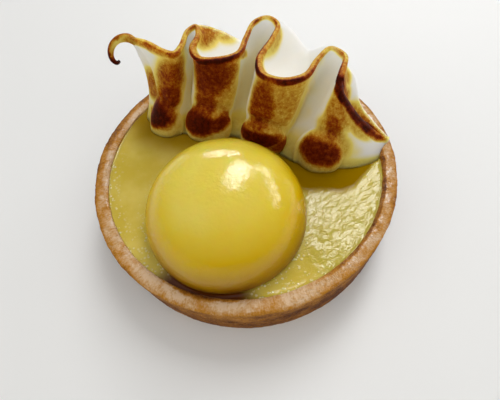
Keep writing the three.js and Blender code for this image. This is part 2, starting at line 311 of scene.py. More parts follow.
# the crumb of the baked dough: shallow lumps with small pits, on the sides and the rim only
shown = smoothstep(case_grid[..., 2], 0.0, 2.0) * smoothstep(case_radius, 30, inner_radius)
crumb = relief(case_grid, LUMP, 11) + relief(case_grid, GRAIN, 21, octaves=2)
pits = smoothstep(noise(case_grid, PIT, 31), 0.5, 0.95)
crumbled = shown * (CRUMB_HEIGHT * crumb - PIT_DEPTH * pits - CRUMB_HEIGHT)
case_grid += normals(case_grid) * crumbled[..., None]


def facing(direction, low, high):
    """Where the case faces a direction, an angle round Z: a smoothstep of the cosine between."""
    return smoothstep(np.cos(case_angle - direction), low, high)


def from_inside(radius, low, high):
    """Where a radius is past two distances from the wall's inner face: a smoothstep."""
    return smoothstep(radius - inner_radius, low, high)


# where the crust is browner or paler: the side wall, the rim's edges, the ways it faces, and
# painted shade next to the dome
ragged = case_radius + 0.25 * relief(case_grid, 1.6, 43)
drifting = case_radius + relief(case_grid, 2.5, 49)
side_wall = smoothstep(case_radius, CASE_RADIUS - 1.2, CASE_RADIUS - 0.6) * (1 - on_top)
outer_edge = smoothstep(ragged, CASE_RADIUS - 0.9, CASE_RADIUS - 0.45) * on_top
outer_half = from_inside(drifting, 1.5, 3.2) * on_top
inner_edge = smoothstep(inner_radius + 1.15 - ragged, 0, 0.4) * on_top
right_hand = facing(-0.1, 0.3, 0.8)
back_left = facing(2.6, 0.78, 0.95) * from_inside(ragged, 1.2, 2)
front = facing(-np.pi / 2, 0.3, 0.9) * on_top
dome_gap = np.hypot(case_grid[..., 0] - DOME_AT[0], case_grid[..., 1] - DOME_AT[1]) - DOME_RADIUS
# painted shade: the crust's top is browned darker beside the dome's foot, where shade falls under
# the dome
dome_shade_on_crust = (1 - smoothstep(dome_gap + 0.3 * relief(case_grid, 1.5, 47), 0.9, 2.2)) * on_top
browned = DOUGH_BROWN + sum(
    strength * where
    for strength, where in (
        (0.14, outer_edge),
        (0.1, outer_half),
        (0.55, inner_edge * right_hand),
        (0.16, right_hand),
        (0.36, back_left),
        (-0.08, front),
        (0.85, dome_shade_on_crust),
        (WALL_BROWN, side_wall),
        (-WALL_PALER, side_wall * smoothstep(case_grid[..., 2], 7, 15)),
        (BLOTCH_BROWN, relief(case_grid, 6.0, 41)),
    )
)
# where butter shines, as a coat and as a painted highlight in the colour: a little everywhere, most
# on the right and along the inside on the left
left_inside = facing(np.pi - 0.5, 0.2, 0.8) * (1 - from_inside(ragged, 1.4, 2.4))
buttery = (0.2 + 0.7 * right_hand * (1 - inner_edge) + 0.7 * left_inside) * (1 - side_wall)
pastry_case = make_piece(
    "pastry_case_crust",
    case_grid,
    ring_faces(*case_grid.shape[:2]),
    browned=browned,
    buttery=buttery,
)
material, start = new_finish("baked_shortcrust")
place = start.place()
# fine fibres that run across the rim and up the wall
flat = start.vector("MULTIPLY", place, (1, 1, 0))
around = start.vector("NORMALIZE", flat)
from_axis = start.vector("LENGTH", flat, output="Value")
along_fibre = (from_axis - place.upwards()) * FIBRE_STRETCH
along_fibre = start.node("ShaderNodeCombineXYZ", (), {"Z": along_fibre})
fibre_place = start.vector("MULTIPLY_ADD", around, (CASE_RADIUS, CASE_RADIUS, 0), along_fibre)
fibres = start.grain(fibre_place, 0.4, detail=4, roughness=0.65)
speckle = start.grain(place, 0.4, detail=3)
patches = start.grain(place, 2.2, detail=4, roughness=0.6, distortion=0.5)
blotches = start.grain(place, 5.0, detail=2, distortion=0.6)
# how brown it is wanders by all four
tone = start.value("browned") + (blotches - 0.5) * 0.5
tone = tone + (speckle - 0.5) * 0.45 + (patches - 0.5) * 0.9 + (fibres - 0.5) * 0.5
# butter shows as small glints within broader patches: a real coat, and a painted highlight that
# turns the colour pale
glints = start.grain(place, 0.7, detail=4, roughness=0.65).between(0.48, 0.58)
shine_and_glint = start.value("buttery") * glints * start.grain(place, 3.5, detail=2).between(0.38, 0.6)
apply_finish(
    pastry_case,
    material,
    start,
    Base_Color=(shine_and_glint * 0.35).mixed(tone.ramp(*CRUST_COLOURS), BUTTER_GLINT),
    Roughness=0.6 - shine_and_glint * 0.2,
    Specular_IOR_Level=0.1,
    Coat_Weight=shine_and_glint * 0.5,
    Coat_Roughness=0.25,
    Normal=(speckle * 0.5 + fibres * 0.5 + patches * 0.8).raised(0.5),
)
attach(pastry_case, "root")
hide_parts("pastry_case")

# ---- The lemon curd ----
# Set curd poured to just under the rim. Its skin is smooth on the left and wrinkled on the right,
# it creeps up the pastry and the dome a little, and it touches the case all round.

CURD_LEVEL = 15.6
CURD_COLUMNS = 420
# how far the curd's edge reaches into the wall, and its underside stays over the floor
CURD_OVERLAP = 0.15
CURD_CLEAR = 0.3
CREEP = 0.3
CREEP_REACH = 0.7
UNDULATION, UNDULATION_CELL = 0.05, 4.0
# where the front of the meringue ruffle meets the curd: its rows, with x and y
LAST = 30
FOOT_FRONT = (
    (0, -25.9, 21.4),
    (1.5, -23.8, 17.2),
    (3, -19.8, 14.6),
    (10, -8.4, 11.4),
    (19, 5.8, 5.2),
    (25, 17.5, -3.0),
    (27, 27.0, -5.4),
    (28.2, 32.2, -5.2),
    (29.2, 36.4, -3.0),
    (LAST, 38.6, 0.0),
)
# how far the ruffle's painted shadow reaches over the curd at most, and how much that wanders; a
# stretch at the left is shaded more softly, and farther out
SHADOW_REACH, SHADOW_WANDER = 8.5, 0.5
LEFT_SHADOW, LEFT_SHADOW_REACH = 0.9, 12
# how far the bubbles spread from the dome and the crust
BUBBLE_REACH = 2.5
PALE_CURD, DEEP_CURD = (0.74, 0.58, 0.11), (0.62, 0.46, 0.04)
# pale flecks in the curd, and the pale colour of a painted highlight on the bubbles
FLECK, BUBBLE_GLINT = (0.68, 0.58, 0.24), (0.90, 0.86, 0.52)
# the wrinkled skin's colour, and the painted shadow that the ruffle casts on the curd
WRINKLED_CURD, RUFFLE_SHADOW_CURD = (0.50, 0.41, 0.04), (0.27, 0.15, 0.0)
# painted shade in the gap where the dome all but meets the crust
GAP_SHADE_COLOUR = (0.10, 0.02, 0.0)


def bell(distance, reach):
    """1 at no distance, falling as a Gaussian: e to the minus (distance / reach) squared."""
    return np.exp(-((distance / reach) ** 2))


curd_radius = inner_radius + CURD_OVERLAP
curd_bottom = FLOOR + CURD_CLEAR
curd_profile = np.vstack(
    [
        straight((0, curd_bottom), (curd_radius, curd_bottom), 10)[:-1],
        straight((curd_radius, curd_bottom), (curd_radius, CURD_LEVEL), 8)[:-1],
        straight((curd_radius, CURD_LEVEL), (0, CURD_LEVEL), 130),
    ]
)
curd_grid = turned(curd_profile, CURD_COLUMNS)
curd_x, curd_y, curd_z = np.moveaxis(curd_grid, -1, 0)
flat_place = curd_grid * [1, 1, 0]
crust_gap = curd_radius - np.hypot(curd_x, curd_y)
dome_gap = np.hypot(curd_x - DOME_AT[0], curd_y - DOME_AT[1]) - DOME_RADIUS
outside_dome = np.maximum(dome_gap, 0)
# the nearest that each point comes to the ruffle's foot, a row of straight runs
foot_gap = np.full(curd_x.shape, np.inf)
for (_, *run_start), (_, *run_end) in zip(FOOT_FRONT, FOOT_FRONT[1:]):
    run = np.subtract(run_end, run_start)
    away = curd_grid[..., :2] - run_start
    share = np.clip(away @ run / (run @ run), 0, 1)
    foot_gap = np.minimum(foot_gap, np.linalg.norm(away - share[..., None] * run, axis=-1))
# painted shadow: the curd that the ruffle shelters from the light is darkened and made dull, in a
# broad patch at the right and a soft one at the left
sheltering = smoothstep(curd_x, -4, 6) * (1 - smoothstep(curd_x, 23, 35))
shadow_reach = SHADOW_REACH * sheltering + SHADOW_WANDER * (1 + relief(flat_place, 4.0, 95))
damp = 1 - smoothstep(foot_gap / np.maximum(shadow_reach, 0.3), 0.72, 1.0)
left_shadow = LEFT_SHADOW * (1 - smoothstep(foot_gap, 1.5, LEFT_SHADOW_REACH)) * (curd_x < 0)
damp = np.maximum(damp, left_shadow)
# painted shade: the dark line in the gap where the dome all but meets the crust
pinched = 1 - smoothstep(outside_dome + crust_gap, 1.4, 2.8)
right_side = smoothstep(curd_x + 0.3 * curd_y, 0, 8)
wrinkled = np.maximum(right_side, 0.35 * bell(outside_dome, 3)) * (1 - damp)
by_edges = np.maximum(bell(outside_dome, BUBBLE_REACH), 0.8 * bell(crust_gap, BUBBLE_REACH))
bubbly = by_edges * (1 - right_side) * (1 - smoothstep(curd_y, 4, 12)) * (1 - pinched)
# the skin creeps up the crust and the dome and undulates a little between them
curd_lift = CREEP * (np.exp(-crust_gap / CREEP_REACH) + np.exp(-np.abs(dome_gap) / CREEP_REACH))
curd_lift += UNDULATION * relief(flat_place, UNDULATION_CELL, 91)
curd_grid[..., 2] += curd_lift * smoothstep(curd_z, CURD_LEVEL - 1, CURD_LEVEL)

lemon_curd = make_piece(
    "lemon_curd_fill",
    curd_grid,
    ring_faces(*curd_grid.shape[:2]),
    wrinkled=wrinkled,
    damp=damp,
    pinched=pinched,
    bubbly=bubbly,
)
material, start = new_finish("lemon_curd")
place = start.place()
# the curd is cloudy, with pale flecks in it
cloud = start.grain(place, 9, detail=3)
flecks = start.grain(place, 0.35, detail=1).between(0.68, 0.76)
wrinkled_here, ruffle_shadow_here = start.value("wrinkled"), start.value("damp")
curd_colour = cloud.between(0.3, 0.7).mixed(DEEP_CURD, PALE_CURD)
curd_colour = (flecks * 0.3).mixed(curd_colour, FLECK)
curd_colour = (wrinkled_here * 0.7).mixed(curd_colour, WRINKLED_CURD)
# painted shadow: the curd is darkened where the ruffle shelters it
curd_colour = ruffle_shadow_here.mixed(curd_colour, RUFFLE_SHADOW_CURD)
# painted shade in the narrow gap between the dome and the crust
curd_colour = start.value("pinched").mixed(curd_colour, GAP_SHADE_COLOUR)
# the wrinkled skin: small flakes on broad swells, both turned and longer one way than the other
leaning = start.node("ShaderNodeMapping", (), {"Vector": place, "Rotation": (0, 0, -0.5)})
leaning = start.node("ShaderNodeMapping", (), {"Vector": leaning, "Scale": (0.6, 1.1, 1)})
flakes = start.grain(leaning, 1.35, distortion=0.8)
swells = start.grain(leaning, 4.0, detail=1)
skin = (flakes * 0.9 + swells * 1.4) * wrinkled_here
# tiny bubbles, raised in the bump and turned pale by a painted highlight, in clusters at the foot
# of the dome and along the crust
cells = start.node("ShaderNodeTexVoronoi", (), {"Vector": place, "Scale": 1.1}, output="Distance")
clusters = start.grain(place, 1.8).between(0.42, 0.5) * start.value("bubbly")
bubbles_and_glints = (0.42 - cells).between(0.0, 0.2) * clusters
curd_colour = (bubbles_and_glints * 0.75).mixed(curd_colour, BUBBLE_GLINT)
apply_finish(
    lemon_curd,
    material,
    start,
    dull=ruffle_shadow_here,
    Base_Color=curd_colour,
    Roughness=0.08 + cloud * 0.06,
    Specular_IOR_Level=0.42,
    Subsurface_Weight=0.3,
    Subsurface_Radius=(0.006, 0.004, 0.001),
    Subsurface_Scale=0.5,
    Normal=skin.raised(0.25, normal=bubbles_and_glints.raised(0.12)),
)
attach(lemon_curd, "root")
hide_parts("lemon_filling")

# ---- The lemon dome ----
# A lemon mousse frozen in a half-round mould and dipped in lemon glaze, set on the curd a little
# in front of the middle. The glaze is smooth, with the faintest orange-peel skin.

# the height of its widest line over the curd, the rise over that line, and the depth of the half
# ellipse that tucks in under it
DOME_WAIST = 1.4
DOME_CROWN = 16.8
DOME_TUCK = 6.0
DOME_COLUMNS = 320
# the dome's outline is a little uneven, in waves of this height and size
UNEVEN, UNEVEN_CELL = 0.12, 14.0
# the glaze from the foot to the crown, darker and deeper amber towards the foot as painted shade
GLAZE_AND_SHADE_COLOURS = (
    (0.05, (0.16, 0.05, 0.0)),
    (0.14, (0.30, 0.13, 0.0)),
    (0.32, (0.52, 0.30, 0.0005)),
    (0.6, (0.73, 0.49, 0.003)),
    (0.85, (0.79, 0.61, 0.05)),
    (1.0, (0.82, 0.70, 0.14)),
)

waist = CURD_LEVEL + DOME_WAIST
tuck_angle = -np.arcsin(DOME_WAIST / DOME_TUCK)
under = arc((0, waist), (DOME_RADIUS, DOME_TUCK), tuck_angle, 0, 10)
over = arc((0, waist), (DOME_RADIUS, DOME_CROWN), 0, np.pi / 2, 90)
over[-1, 0] = 0
dome_profile = np.vstack([straight((0, CURD_LEVEL), under[0], 6)[:-1], under[:-1], over])
dome_grid = turned(dome_profile, DOME_COLUMNS)
uneven = UNEVEN * relief(dome_grid, UNEVEN_CELL, 101)
uneven *= smoothstep(dome_grid[..., 2], CURD_LEVEL, waist + 2)
dome_grid += normals(dome_grid) * uneven[..., None]
dome_grid += [*DOME_AT, 0]

lemon_dome = make_piece("lemon_dome_glaze", dome_grid, ring_faces(*dome_grid.shape[:2]))
material, start = new_finish("lemon_glaze")
place = start.place()
peel = start.grain(place, 0.75, detail=2)
waves = start.grain(place, 2.2, detail=2)
drift = start.grain(place, 12, detail=2)
# painted shade: the glaze's colour darkens the lower it stands on the dome
risen = place.upwards().between(16, 33.5)
apply_finish(
    lemon_dome,
    material,
    start,
    Base_Color=(risen * 0.85 + drift * 0.2).ramp(*GLAZE_AND_SHADE_COLOURS),
    Roughness=0.1 + peel * 0.06,
    Specular_IOR_Level=0.35,
    Subsurface_Weight=1.0,
    Subsurface_Radius=(0.012, 0.008, 0.002),
    Subsurface_Scale=1.0,
    Normal=peel.raised(0.075, normal=waves.raised(0.12)),
)
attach(lemon_dome, "root")
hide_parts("lemon_dome")

# ---- The meringue ruffle ----
# Italian meringue piped through a petal tip in one wavy ribbon across the back of the tart, from a
# drawn-out tail on the left to a low end on the rim, then torched on its folds and its edge.

# the lip's thickness, the share that the loops lack of it, and the height under which it thins; its
# round is a little flat
LIP = 1.8
THIN_LOOPS = 0.42
THIN_HEIGHT = 6.0
LIP_FLATNESS = 0.8
# the height over the curd from which the ruffle has its full swells
FULL_HEIGHT = 14.0
# what is left at the foot of a groove's depth, of the edge's swing to the side and of the ribbon's
# thickness, the power by which a groove deepens upwards, and how much fatter the folds are below
GROOVE_AT_FOOT = 0.06
SIDEWAYS_AT_FOOT = 0.6
THIN_AT_FOOT = 0.25
GROOVE_RISE = 0.75
FOOT_FATTER = 1.2
# the back wall swells out; the bowls between the loops dip, and rise to the edge by a power
BACK_SWELL = 1.5
BOWL_DIP = 1.2
BOWL_RISE = 2.4
# how far the left end is drawn in at half its height
TUCKED_END = 2.6
# the mesh's steps from row to row, and its points up each surface
STEPS_PER_ROW = 20
WALL_POINTS, BOWL_POINTS, LIP_POINTS, FRONT_POINTS = 28, 28, 14, 56
# the knobs at the feet of the folds: x, y and z, half-width, half-height and swell
KNOBS = (
    (-21.3, 15.6, 19.2, 6.4, 6.4, 1.9),
    (-8.4, 11.6, 19.4, 6.8, 6.8, 2.3),
    (5.8, 5.2, 19.2, 6.6, 6.0, 2.0),
    (18.9, -3.0, 19.6, 6.9, 6.8, 2.6),
)
KNOB_ROUNDNESS = 0.6
# the crease over each knob: its depth, its place in knob radii and its width
CREASE, CREASE_AT, CREASE_WIDTH = 0.55, 1.12, 0.16
# the neck under the lip is drawn in
NECK = 0.35
# the ridge down the left end, its rows at five levels, and the furrow on its left, in rows
RIDGE_LEVELS = (0.4, 0.5, 0.65, 0.8, 0.95)
RIDGE_ROWS = (1.95, 1.8, 1.4, 1.0, 0.3)
RIDGE_HEIGHT, RIDGE_WIDTH = 0.55, 0.2
FURROW_SHARE, FURROW_AWAY, FURROW_WIDTH = 0.8, 0.5, 0.3
# the hollow in the left side of the second fold: row, level, half-width, half-height and depth
FLANK_HOLLOW = (8.5, 0.66, 1.0, 0.34, 1.5)

# the upper edge from left to right, a place for each row, with the rows where it turns forwards in
# a fold or backwards in a loop
COURSE = np.array(
    [
        (-24.5, 28.1, 37.6),
        (-20.0, 24.9, 38.0),
        (-15.8, 20.8, 38.0),
        (-13.0, 19.4, 38.0),
        (-11.2, 21.9, 38.0),
        (-9.4, 27.2, 38.2),
        (-7.3, 28.8, 38.2),
        (-6.9, 25.2, 38.1),
        (-8.6, 20.4, 38.0),
        (-7.3, 16.7, 37.9),
        (-2.8, 15.4, 37.9),
        (2.4, 16.5, 38.0),
        (4.8, 21.5, 38.2),
        (7.6, 27.0, 38.4),
        (11.0, 28.2, 38.4),
        (13.2, 25.0, 38.4),
        (11.2, 20.2, 38.2),
        (7.0, 13.5, 38.0),
        (7.2, 8.8, 37.8),
        (11.7, 5.8, 37.8),
        (16.8, 6.5, 37.9),
        (20.4, 11.0, 38.0),
        (24.2, 14.3, 38.0),
        (26.8, 11.0, 38.0),
        (25.2, 6.8, 37.8),
        (24.2, 4.5, 37.0),
        (24.7, 3.6, 34.9),
        (26.6, 3.2, 31.0),
        (31.3, 2.3, 24.0),
        (36.6, 1.3, 18.9),
        (39.2, 0.8, 18.0),
    ]
)
FOLDS = (3, 10, 19, 25)
LOOPS = (6, 14, 22)
# the foot of the back wall: row, x and y
FOOT_BACK = (
    (0, -24.2, 25.4),
    (6, -10.2, 31.4),
    (10, -1.8, 28.6),
    (14, 8.6, 31.6),
    (18, 17.4, 24.4),
    (22, 26.0, 20.4),
    (25, 30.0, 11.4),
    (27, 32.0, 6.6),
    (LAST, 38.8, 1.8),
)
# the two ends of the line that joins the folds, which the edge swings back from
FRONT_ENDS = ((0, -23.4, 26.4), (LAST, 39.2, 0.5))
# the crest joins the loops and sags between them: row, x, y and z
SAGS = (
    (0, -24.0, 28.8, 30.4),
    (4.6, -12.4, 29.8, 30.8),
    (8.2, -2.2, 30.4, 34.8),
    (11.8, 5.0, 29.8, 30.8),
    (16.2, 16.2, 27.8, 34.8),
    (19.4, 20.4, 22.4, 31.4),
    (24, 28.8, 10.8, 32.6),
    (27, 31.2, 5.6, 26.0),
    (LAST, 39.2, 1.4, 17.4),
)
# the drawn-out tail: x, y and z of its middle, and its radius
TAIL = np.array(
    [
        (-22.8, 26.9, 37.2, 0.9),
        (-24.9, 28.3, 37.7, 1.1),
        (-27.5, 28.7, 37.3, 0.95),
        (-29.7, 28.5, 35.7, 0.85),
        (-30.7, 28.0, 33.8, 0.75),
        (-30.7, 27.7, 32.1, 0.65),
        (-30.0, 27.8, 31.1, 0.55),
        (-29.2, 28.2, 31.3, 0.35),
    ]
)
TAIL_ROWS, TAIL_COLUMNS = 120, 24


def smooth_curve(places, rows):
    """A centripetal Catmull-Rom curve through places, at row numbers: between two places it blends
    three straight runs over the square roots of the distances, and its ends go straight on."""
    ends = np.vstack([2 * places[0] - places[1], places, 2 * places[-1] - places[-2]])
    gaps = np.sqrt(np.linalg.norm(np.diff(ends[:, :3], axis=0), axis=1))
    i = np.clip(np.floor(rows).astype(int), 0, len(places) - 2)
    a, b, c, d = (ends[i + k] for k in range(4))
    ab, bc, cd = (gaps[i + k][:, None] for k in range(3))
    t = (rows - i)[:, None] * bc
    first = a + (b - a) * (t + ab) / ab
    middle = b + (c - b) * t / bc
    final = c + (d - c) * (t - bc) / cd
    early = first + (middle - first) * (t + ab) / (ab + bc)
    late = middle + (final - middle) * t / (bc + cd)
    return early + (late - early) * t / bc


def through(stations, rows):
    """A smooth line through (row, x, y, z) stations: a cubic between each two, with slopes that
    weigh the neighbouring chords by their lengths in rows and are level at its highest and lowest
    stations. Without z, the line lies on the curd."""
    stations = np.array([(*s, CURD_LEVEL)[:4] for s in stations], float)
    at, points = stations[:, 0], stations[:, 1:]
    span = np.diff(at)[:, None]
    chords = np.diff(points, axis=0) / span
    inner = (chords[1:] * span[:-1] + chords[:-1] * span[1:]) / (span[1:] + span[:-1])
    inner[chords[1:, 2] * chords[:-1, 2] <= 0, 2] = 0
    slopes = np.vstack([chords[:1], inner, chords[-1:]])
    k = np.clip(np.searchsorted(at, rows, side="right") - 1, 0, len(at) - 2)
    t = ((rows - at[k]) / span[k, 0])[:, None]
    return (
        points[k] * (2 * t**3 - 3 * t**2 + 1)
        + slopes[k] * span[k] * (t**3 - 2 * t**2 + t)
        + points[k + 1] * (3 * t**2 - 2 * t**3)
        + slopes[k + 1] * span[k] * (t**3 - t**2)
    )


def unit(vectors):
    """The vectors laid flat and made one long."""
    flat = vectors * [1, 1, 0]
    return flat / np.linalg.norm(flat, axis=-1, keepdims=True)


def dot(a, b):
    """The sum of products along the last axis, kept as a column."""
    return np.sum(a * b, axis=-1, keepdims=True)


rows = np.linspace(0, LAST, LAST * STEPS_PER_ROW + 1)
edge = smooth_curve(COURSE, rows)
along = unit(np.gradient(edge, axis=0))
outwards = along[:, [1, 0, 2]] * [-1, 1, 0]
front_line = through(sorted([*FRONT_ENDS, *((r, *COURSE[r, :2]) for r in FOLDS)]), rows)
crest = through(sorted([*SAGS, *((r, *COURSE[r]) for r in LOOPS)]), rows)
foot_front, foot_back = through(FOOT_FRONT, rows), through(FOOT_BACK, rows)
across = unit(crest - front_line)
side = across[:, [1, 0, 2]] * [1, -1, 0]
inward, sideways = dot(edge - front_line, across), dot(edge - front_line, side)
looped = np.clip(inward / dot(crest - front_line, across), 0, 1)
height = edge[:, 2:] - CURD_LEVEL
tall = smoothstep(height, 0, FULL_HEIGHT)
half_lip = LIP / 2 * (1 - THIN_LOOPS * looped)
half_lip = half_lip * np.maximum(0.5, smoothstep(height, 0, THIN_HEIGHT))


def front_surface(level):
    """The ruffle's front at shares of its height: the front line rises from foot to fold, the way
    in from it to the edge shrinks going down by a power, and the foot is fatter than the lip. Round
    knobs swell along the normal, each an ellipsoid with a Gaussian crease over it; a Gaussian ridge
    and hollow shape the flanks, and a neck under the lip is drawn in."""
    level = level[None, :, None]
    at = [v[:, None] for v in (foot_front, front_line, across, side, inward, sideways, outwards)]
    foot, line, inwards, beside, depth, swing, normal = at
    groove = GROOVE_AT_FOOT + (1 - GROOVE_AT_FOOT) * level**GROOVE_RISE
    point = foot + (line - foot) * level + inwards * depth * groove
    point = point + beside * swing * (SIDEWAYS_AT_FOOT + (1 - SIDEWAYS_AT_FOOT) * level)
    fatter = FOOT_FATTER * (1 - level) * (1 - looped[:, None]) * tall[:, None]
    thick = (half_lip[:, None] + fatter) * (THIN_AT_FOOT + (1 - THIN_AT_FOOT) * level)
    point = point - normal * thick
    point[..., 2:] = CURD_LEVEL + level * height[:, None]
    swell, crease = np.zeros((2, *point.shape[:2], 1))
    for *middle, half_width, half_height, bulge in KNOBS:
        away = (point - middle) / [half_width, half_width, half_height]
        away = np.linalg.norm(away, axis=-1, keepdims=True)
        swell = np.maximum(swell, bulge * np.clip(1 - away**2, 0, 1) ** KNOB_ROUNDNESS)
        over = smoothstep(point[..., 2:], middle[2] - 1, middle[2] + 4)
        crease = np.maximum(crease, over * bell(away - CREASE_AT, CREASE_WIDTH))
    at_row = rows[:, None, None]
    beyond = at_row - np.interp(level, RIDGE_LEVELS, RIDGE_ROWS)
    furrow = bell(beyond + FURROW_AWAY, FURROW_WIDTH)
    ridge = bell(beyond, RIDGE_WIDTH) - FURROW_SHARE * furrow
    ridge = ridge * smoothstep(level, 0.36, 0.5) * (1 - smoothstep(level, 0.85, 1))
    row, middle, half_width, half_height, deep = FLANK_HOLLOW
    hollow = ((at_row - row) / half_width) ** 2 + ((level - middle) / half_height) ** 2
    under_lip = (1 - level) * height[:, None]
    neck = smoothstep(under_lip, 0.2, 1.4) * (1 - smoothstep(under_lip, 5, 12)) * tall[:, None]
    drawn = CREASE * crease + deep * np.exp(-(hollow**1.5)) + NECK * neck
    return point - normal * (swell + RIDGE_HEIGHT * ridge - drawn)


def wall_surface(share):
    """The outer wall of the back, from its foot to the crest, rounded out by a sine."""
    share = share[None, :, None]
    top = (crest + across * half_lip)[:, None]
    foot = foot_back[:, None]
    bulge = BACK_SWELL * np.sin(np.pi * share) * tall[:, None]
    return foot + (top - foot) * share + across[:, None] * bulge


def bowl_surface(share):
    """The bowl between two loops, from the crest to the edge: straight in plan, while its height
    follows a power of the share and dips by a sine. It has no width at the loops."""
    share = share[None, :, None]
    start_at = (crest + across * half_lip)[:, None]
    end_at = (edge + outwards * half_lip)[:, None]
    point = start_at + (end_at - start_at) * share
    dip = BOWL_DIP * np.sin(np.pi * share) * (1 - looped[:, None]) * tall[:, None]
    rise = start_at[..., 2:] + (end_at - start_at)[..., 2:] * share**BOWL_RISE
    point[..., 2:] = rise - dip
    return point


def lip_surface(angle):
    """The rounded lip, a slightly flat half circle over the edge from its back to its front."""
    angle = angle[None, :, None]
    reach = half_lip[:, None] * np.cos(angle)
    point = edge[:, None] - outwards[:, None] * reach
    point[..., 2:] += LIP_FLATNESS * half_lip[:, None] * np.sin(angle)
    return point


# round the ribbon: up the back wall, down the bowl, over the lip and down the front
wall_shares = np.linspace(0, 1, WALL_POINTS)[:-1]
bowl_shares = np.linspace(0, 1, BOWL_POINTS)
lip_angles = np.linspace(0, np.pi, LIP_POINTS)[1:-1][::-1]
front_levels = np.linspace(0, 1, FRONT_POINTS)[::-1]
ruffle = np.concatenate(
    [
        wall_surface(wall_shares),
        bowl_surface(bowl_shares),
        lip_surface(lip_angles),
        front_surface(front_levels),
    ],
    axis=1,
)
parts = [wall_shares, bowl_shares, 1 - lip_angles / np.pi, front_levels]
kind = np.repeat(range(4), [len(p) for p in parts])[None]
share = np.concatenate(parts)[None]
on_bowl, on_lip, on_front = (kind == k for k in (1, 2, 3))
tucked = np.clip((ruffle[..., 2] - CURD_LEVEL) / height, 0, 1)
ruffle[..., 0] += TUCKED_END * np.sin(np.pi * tucked) * (1 - smoothstep(rows, 0, 3))[:, None]
row = rows[:, None] + 0 * share
reach = np.linalg.norm(ruffle - edge[:, None], axis=-1)

# where the torch caught the front, four wide faint halos and then the marks from left to right:
# row, level, half-width in rows, half-height in levels, rows of lean over one level, and darkness
TORCHED_FRONT = (
    (2.2, 0.12, 2.6, 0.22, 0, 0.22),
    (9.6, 0.12, 2.8, 0.26, 0, 0.22),
    (19.0, 0.12, 3.0, 0.24, 0, 0.22),
    (25.8, 0.12, 2.6, 0.24, 0, 0.22),
    (0.6, 0.46, 0.8, 0.22, 0, 0.50),
    (2.9, 0.58, 1.7, 0.50, 0.4, 0.33),
    (3.0, 0.72, 1.45, 0.26, 0, 0.62),
    (2.8, 0.50, 1.35, 0.22, 0, 0.74),
    (2.0, 0.28, 1.40, 0.20, 1.6, 0.97),
    (1.4, 0.17, 1.10, 0.09, 0, 0.85),
    (9.8, 0.50, 1.75, 0.56, 0, 0.34),
    (9.45, 0.80, 1.60, 0.38, 0, 0.74),
    (9.4, 0.50, 1.20, 0.16, 0, 0.68),
    (9.2, 0.26, 1.35, 0.18, 0, 0.88),
    (10.3, 0.27, 1.00, 0.13, 0, 0.78),
    (11.9, 0.86, 0.30, 0.16, -6.7, 0.36),
    (19.7, 0.45, 2.30, 0.60, 0, 0.20),
    (18.3, 0.62, 0.85, 0.44, 0, 0.66),
    (19.1, 0.66, 1.70, 0.50, 0.4, 0.37),
    (18.6, 0.24, 1.50, 0.12, 0, 0.86),
    (20.3, 0.12, 1.20, 0.13, -3, 0.70),
    (25.9, 0.35, 1.90, 0.42, 0, 0.33),
    (25.7, 0.28, 1.50, 0.20, 0, 0.80),
    (26.0, 0.60, 1.00, 0.19, 0, 0.62),
    (26.0, 0.74, 1.50, 0.28, 0.8, 0.42),
    (27.7, 0.82, 0.80, 0.20, 0, 0.28),
)
# where it caught the bowls behind: the same, with the share of the way from the crest to the edge
TORCHED_BOWLS = (
    (7.1, 0.42, 1.60, 0.85, -0.9, 0.50),
    (8.9, 0.04, 1.90, 0.20, 0, 0.30),
    (15.9, 0.80, 1.10, 0.50, 0, 0.32),
    (23.9, 0.60, 0.80, 0.60, 0, 0.40),
    (25.2, 0.90, 1.60, 0.60, 0, 0.58),
    (27.6, 0.80, 2.00, 0.90, 0, 0.58),
)
# how dark the lip is burnt along the ribbon: row, at its front corner, over its top, and how wide
TORCHED_LIP = (
    (0.0, 0.55, 0.40, 0.9),
    (1.5, 0.78, 0.42, 1.0),
    (3.2, 0.84, 0.42, 1.0),
    (4.2, 0.66, 0.44, 0.9),
    (6.0, 0.66, 0.42, 0.85),
    (7.8, 0.70, 0.44, 0.95),
    (8.8, 1.00, 0.44, 1.1),
    (10.6, 0.96, 0.42, 1.1),
    (11.8, 0.76, 0.44, 1.0),
    (14.0, 0.66, 0.38, 0.85),
    (16.0, 0.72, 0.42, 0.95),
    (17.2, 0.96, 0.42, 1.1),
    (18.6, 1.00, 0.40, 1.1),
    (20.6, 0.74, 0.43, 0.95),
    (22.2, 0.56, 0.32, 0.8),
    (23.6, 0.66, 0.44, 1.0),
    (24.4, 0.80, 0.50, 1.5),
    (25.0, 1.00, 0.90, 1.9),
    (28.2, 1.00, 0.95, 1.6),
    (29.2, 0.60, 0.50, 1.0),
    (30.0, 0.10, 0.10, 1.0),
)
# a mark reaches this many half-widths out, give or take the wander of its outline, and comes to
# its full strength over a spread, which is softer on the bowls
MARK_REACH, WANDER = 1.3, 0.16
FRONT_SPREAD, BOWL_SPREAD = 0.85, 1.1
# the lip's burn is narrower in the loops, by a share, and flickers along the ribbon
NARROW_LOOPS, FLICKER = 0.45, 0.22
# the least burn at the foot and in the grooves on the left: a cream tint painted for the yellow
# light thrown up from the curd at the foot, and for the warm shade in the grooves
FOOT_BOUNCE_TINT, GROOVE_SHADE_TINT = 0.2, 0.075
# meringue from white through cream and gold to black, by how much it is burnt, the cream also
# serving the painted tint
TORCH_COLOURS = (
    (0.0, (0.87, 0.85, 0.79)),
    (0.14, (0.85, 0.71, 0.17)),
    (0.30, (0.61, 0.38, 0.045)),
    (0.48, (0.44, 0.155, 0.006)),
    (0.64, (0.26, 0.042, 0.001)),
    (0.8, (0.13, 0.010, 0.0)),
    (1.0, (0.04, 0.003, 0.0)),
)


